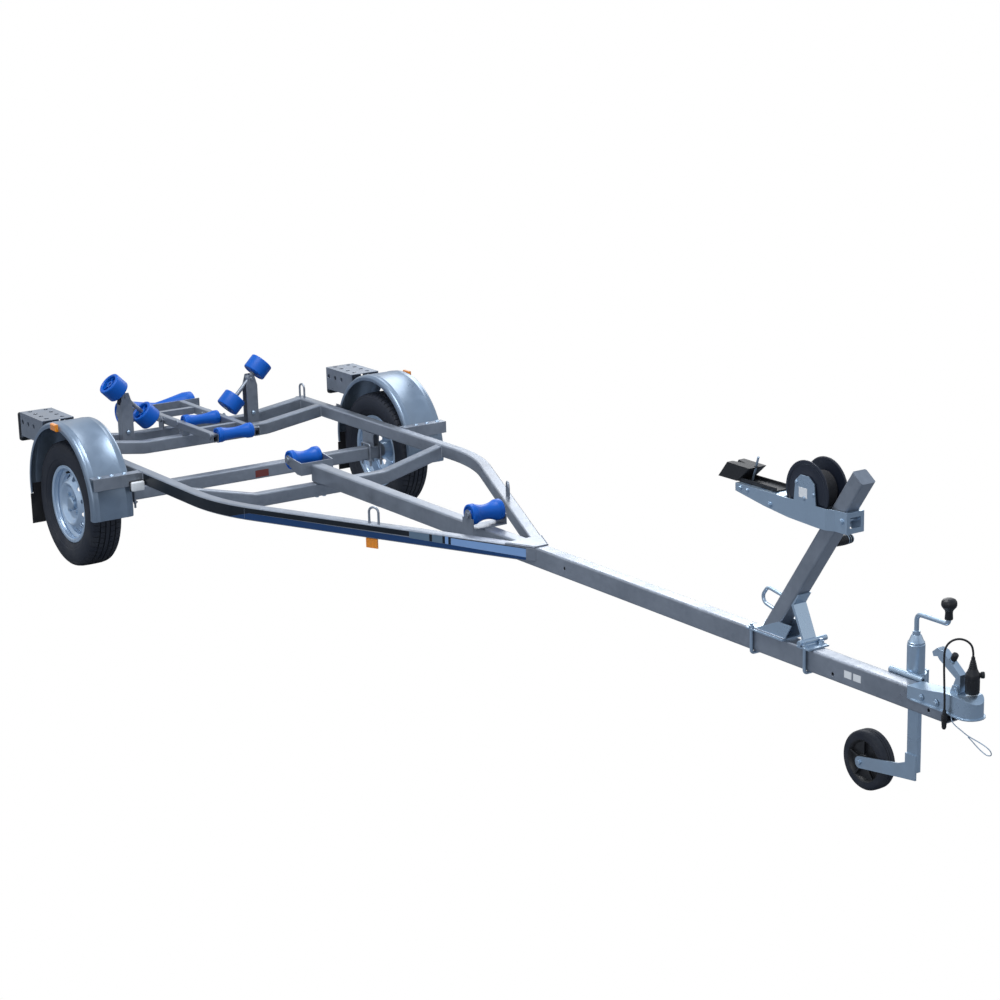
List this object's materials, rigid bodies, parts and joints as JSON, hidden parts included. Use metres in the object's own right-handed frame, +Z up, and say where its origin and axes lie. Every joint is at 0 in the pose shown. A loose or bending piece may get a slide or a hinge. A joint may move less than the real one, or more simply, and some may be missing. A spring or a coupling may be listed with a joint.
{
  "type": "boat trailer",
  "caption": "Single-axle boat trailer with a V-shaped galvanised frame, keel and wobble rollers, tilting roller cradle, winch post, jockey wheel and ball coupling.",
  "frame": {"origin": "on the ground, under the middle of the trailer's length and width", "axes": "+X to the trailer's left (port) side, +Y to its rear, +Z up; the coupling points to -Y"},
  "size_m": [1.872, 5.8745, 1.1411],
  "materials": {
    "galvanised": "hot-dip galvanised steel, satin grey",
    "zinc": "bright zinc-plated steel",
    "grey_plastic": "satin grey moulded plastic",
    "silver_paint": "silver painted steel wheel",
    "tyre": "black road tyre",
    "blue_plastic": "blue moulded polymer",
    "black_rubber": "black rubber",
    "black_plastic": "black moulded plastic",
    "black_paint": "black coated steel",
    "webbing": "dark woven strap",
    "jockey_black": "black solid rubber wheel",
    "lamp_red": "red lamp lens",
    "lamp_clear": "clear lamp lens",
    "lamp_amber": "amber lamp lens"
  },
  "bodies": {
    "chassis": {"keel_beam": "galvanised", "apex_plate": "galvanised", "side_rail_right": "galvanised", "side_rail_left": "galvanised", "front_cross_member": "galvanised", "middle_cross_member": "galvanised", "rear_cross_member": "galvanised", "axle_tube": "galvanised", "axle_brackets": "galvanised", "suspension_arms": "galvanised", "mudguard_brackets": "galvanised", "lamp_brackets": "galvanised", "tie_down_eyes": "galvanised", "roller_brackets": "galvanised", "cradle_mounts": "galvanised", "roller_posts": "galvanised", "winch_post": "galvanised", "winch_post_base": "galvanised", "winch_carriage": "galvanised", "coupling_body": "zinc", "coupling_handle": "zinc", "jockey_clamp": "zinc", "jockey_tube": "zinc", "breakaway_wire": "zinc", "mudguard_right": "grey_plastic", "mudguard_left": "grey_plastic", "mud_flaps": "black_rubber", "bow_stop": "black_rubber", "cable": "black_rubber", "cable_gland": "black_rubber", "plug": "black_plastic", "rear_lamps": "lamp_red", "front_marker_lamps": "lamp_clear", "amber_side_lamps": "lamp_amber"},
    "wheel_right": {"tyre_right": "tyre", "rim_right": "silver_paint", "hub_right": "zinc"},
    "wheel_left": {"tyre_left": "tyre", "rim_left": "silver_paint", "hub_left": "zinc"},
    "front_keel_roller": {"keel_roller_front": "blue_plastic"},
    "middle_keel_roller": {"keel_roller_middle": "blue_plastic"},
    "cradle": {"cradle_frame": "galvanised"},
    "cradle_front_roller": {"cradle_roller_front": "blue_plastic"},
    "cradle_middle_roller": {"cradle_roller_middle": "blue_plastic"},
    "cradle_rear_roller": {"cradle_roller_rear": "blue_plastic"},
    "arm_right": {"wobble_arm_right": "galvanised"},
    "arm_left": {"wobble_arm_left": "galvanised"},
    "arm_right_outer_roller": {"wobble_roller_right_outer": "blue_plastic"},
    "arm_right_inner_roller": {"wobble_roller_right_inner": "blue_plastic"},
    "arm_left_outer_roller": {"wobble_roller_left_outer": "blue_plastic"},
    "arm_left_inner_roller": {"wobble_roller_left_inner": "blue_plastic"},
    "winch": {"winch_drum": "black_paint", "winch_strap": "webbing", "winch_crank": "zinc"},
    "jockey_handle": {"jockey_crank": "zinc", "jockey_knob": "black_plastic"},
    "jockey_nut": {"jockey_slider": "zinc"},
    "jockey_fork": {"jockey_leg": "zinc"},
    "jockey_road_wheel": {"jockey_wheel": "jockey_black"}
  },
  "joints": [
    {"name": "wheel_right_spin", "type": "hinge", "parent": "chassis", "child": "wheel_right", "pos_m": [-0.812, 2.009, 0.289], "axis": [1, 0, 0], "continuous": true},
    {"name": "wheel_left_spin", "type": "hinge", "parent": "chassis", "child": "wheel_left", "pos_m": [0.812, 2.009, 0.289], "axis": [1, 0, 0], "continuous": true},
    {"name": "front_keel_roller_spin", "type": "hinge", "parent": "chassis", "child": "front_keel_roller", "pos_m": [0, -0.098, 0.542], "axis": [1, 0, 0], "continuous": true},
    {"name": "middle_keel_roller_spin", "type": "hinge", "parent": "chassis", "child": "middle_keel_roller", "pos_m": [0, 1.377, 0.49], "axis": [1, 0, 0], "continuous": true},
    {"name": "cradle_tilt", "type": "hinge", "parent": "chassis", "child": "cradle", "pos_m": [0, 2.554, 0.48], "axis": [-1, 0, 0], "range_deg": [0, 15]},
    {"name": "cradle_front_roller_spin", "type": "hinge", "parent": "cradle", "child": "cradle_front_roller", "pos_m": [0, 2.044, 0.487], "axis": [1, 0, 0], "continuous": true},
    {"name": "cradle_middle_roller_spin", "type": "hinge", "parent": "cradle", "child": "cradle_middle_roller", "pos_m": [0, 2.387, 0.492], "axis": [1, 0, 0], "continuous": true},
    {"name": "cradle_rear_roller_spin", "type": "hinge", "parent": "cradle", "child": "cradle_rear_roller", "pos_m": [0, 2.879, 0.464], "axis": [1, 0, 0], "continuous": true},
    {"name": "arm_right_rock", "type": "hinge", "parent": "chassis", "child": "arm_right", "pos_m": [-0.338, 2.506, 0.632], "axis": [0, -1, 0], "range_deg": [0, 36]},
    {"name": "arm_left_rock", "type": "hinge", "parent": "chassis", "child": "arm_left", "pos_m": [0.338, 2.506, 0.632], "axis": [0, 1, 0], "range_deg": [0, 36]},
    {"name": "arm_right_outer_spin", "type": "hinge", "parent": "arm_right", "child": "arm_right_outer_roller", "pos_m": [-0.3875, 2.506, 0.6815], "axis": [-0.7071, 0, 0.7071], "continuous": true},
    {"name": "arm_right_inner_spin", "type": "hinge", "parent": "arm_right", "child": "arm_right_inner_roller", "pos_m": [-0.23052, 2.506, 0.52452], "axis": [-0.7071, 0, 0.7071], "continuous": true},
    {"name": "arm_left_outer_spin", "type": "hinge", "parent": "arm_left", "child": "arm_left_outer_roller", "pos_m": [0.3875, 2.506, 0.6815], "axis": [0.7071, 0, 0.7071], "continuous": true},
    {"name": "arm_left_inner_spin", "type": "hinge", "parent": "arm_left", "child": "arm_left_inner_roller", "pos_m": [0.23052, 2.506, 0.52452], "axis": [0.7071, 0, 0.7071], "continuous": true},
    {"name": "winch_turn", "type": "hinge", "parent": "chassis", "child": "winch", "pos_m": [0, -2.104, 1.035], "axis": [1, 0, 0], "continuous": true},
    {"name": "jockey_handle_turn", "type": "hinge", "parent": "chassis", "child": "jockey_handle", "pos_m": [0.08, -2.506, 0.588], "axis": [0, 0, 1], "continuous": true},
    {"name": "jockey_lift", "type": "slide", "parent": "chassis", "child": "jockey_nut", "axis": [0, 0, 1], "range_m": [-0.04, 0.085]},
    {"name": "jockey_swivel", "type": "hinge", "parent": "jockey_nut", "child": "jockey_fork", "pos_m": [0.08, -2.506, 0.466], "axis": [0, 0, 1], "continuous": true},
    {"name": "jockey_wheel_spin", "type": "hinge", "parent": "jockey_fork", "child": "jockey_road_wheel", "pos_m": [0.11, -2.261, 0.105], "axis": [1, 0, 0], "continuous": true}
  ]
}
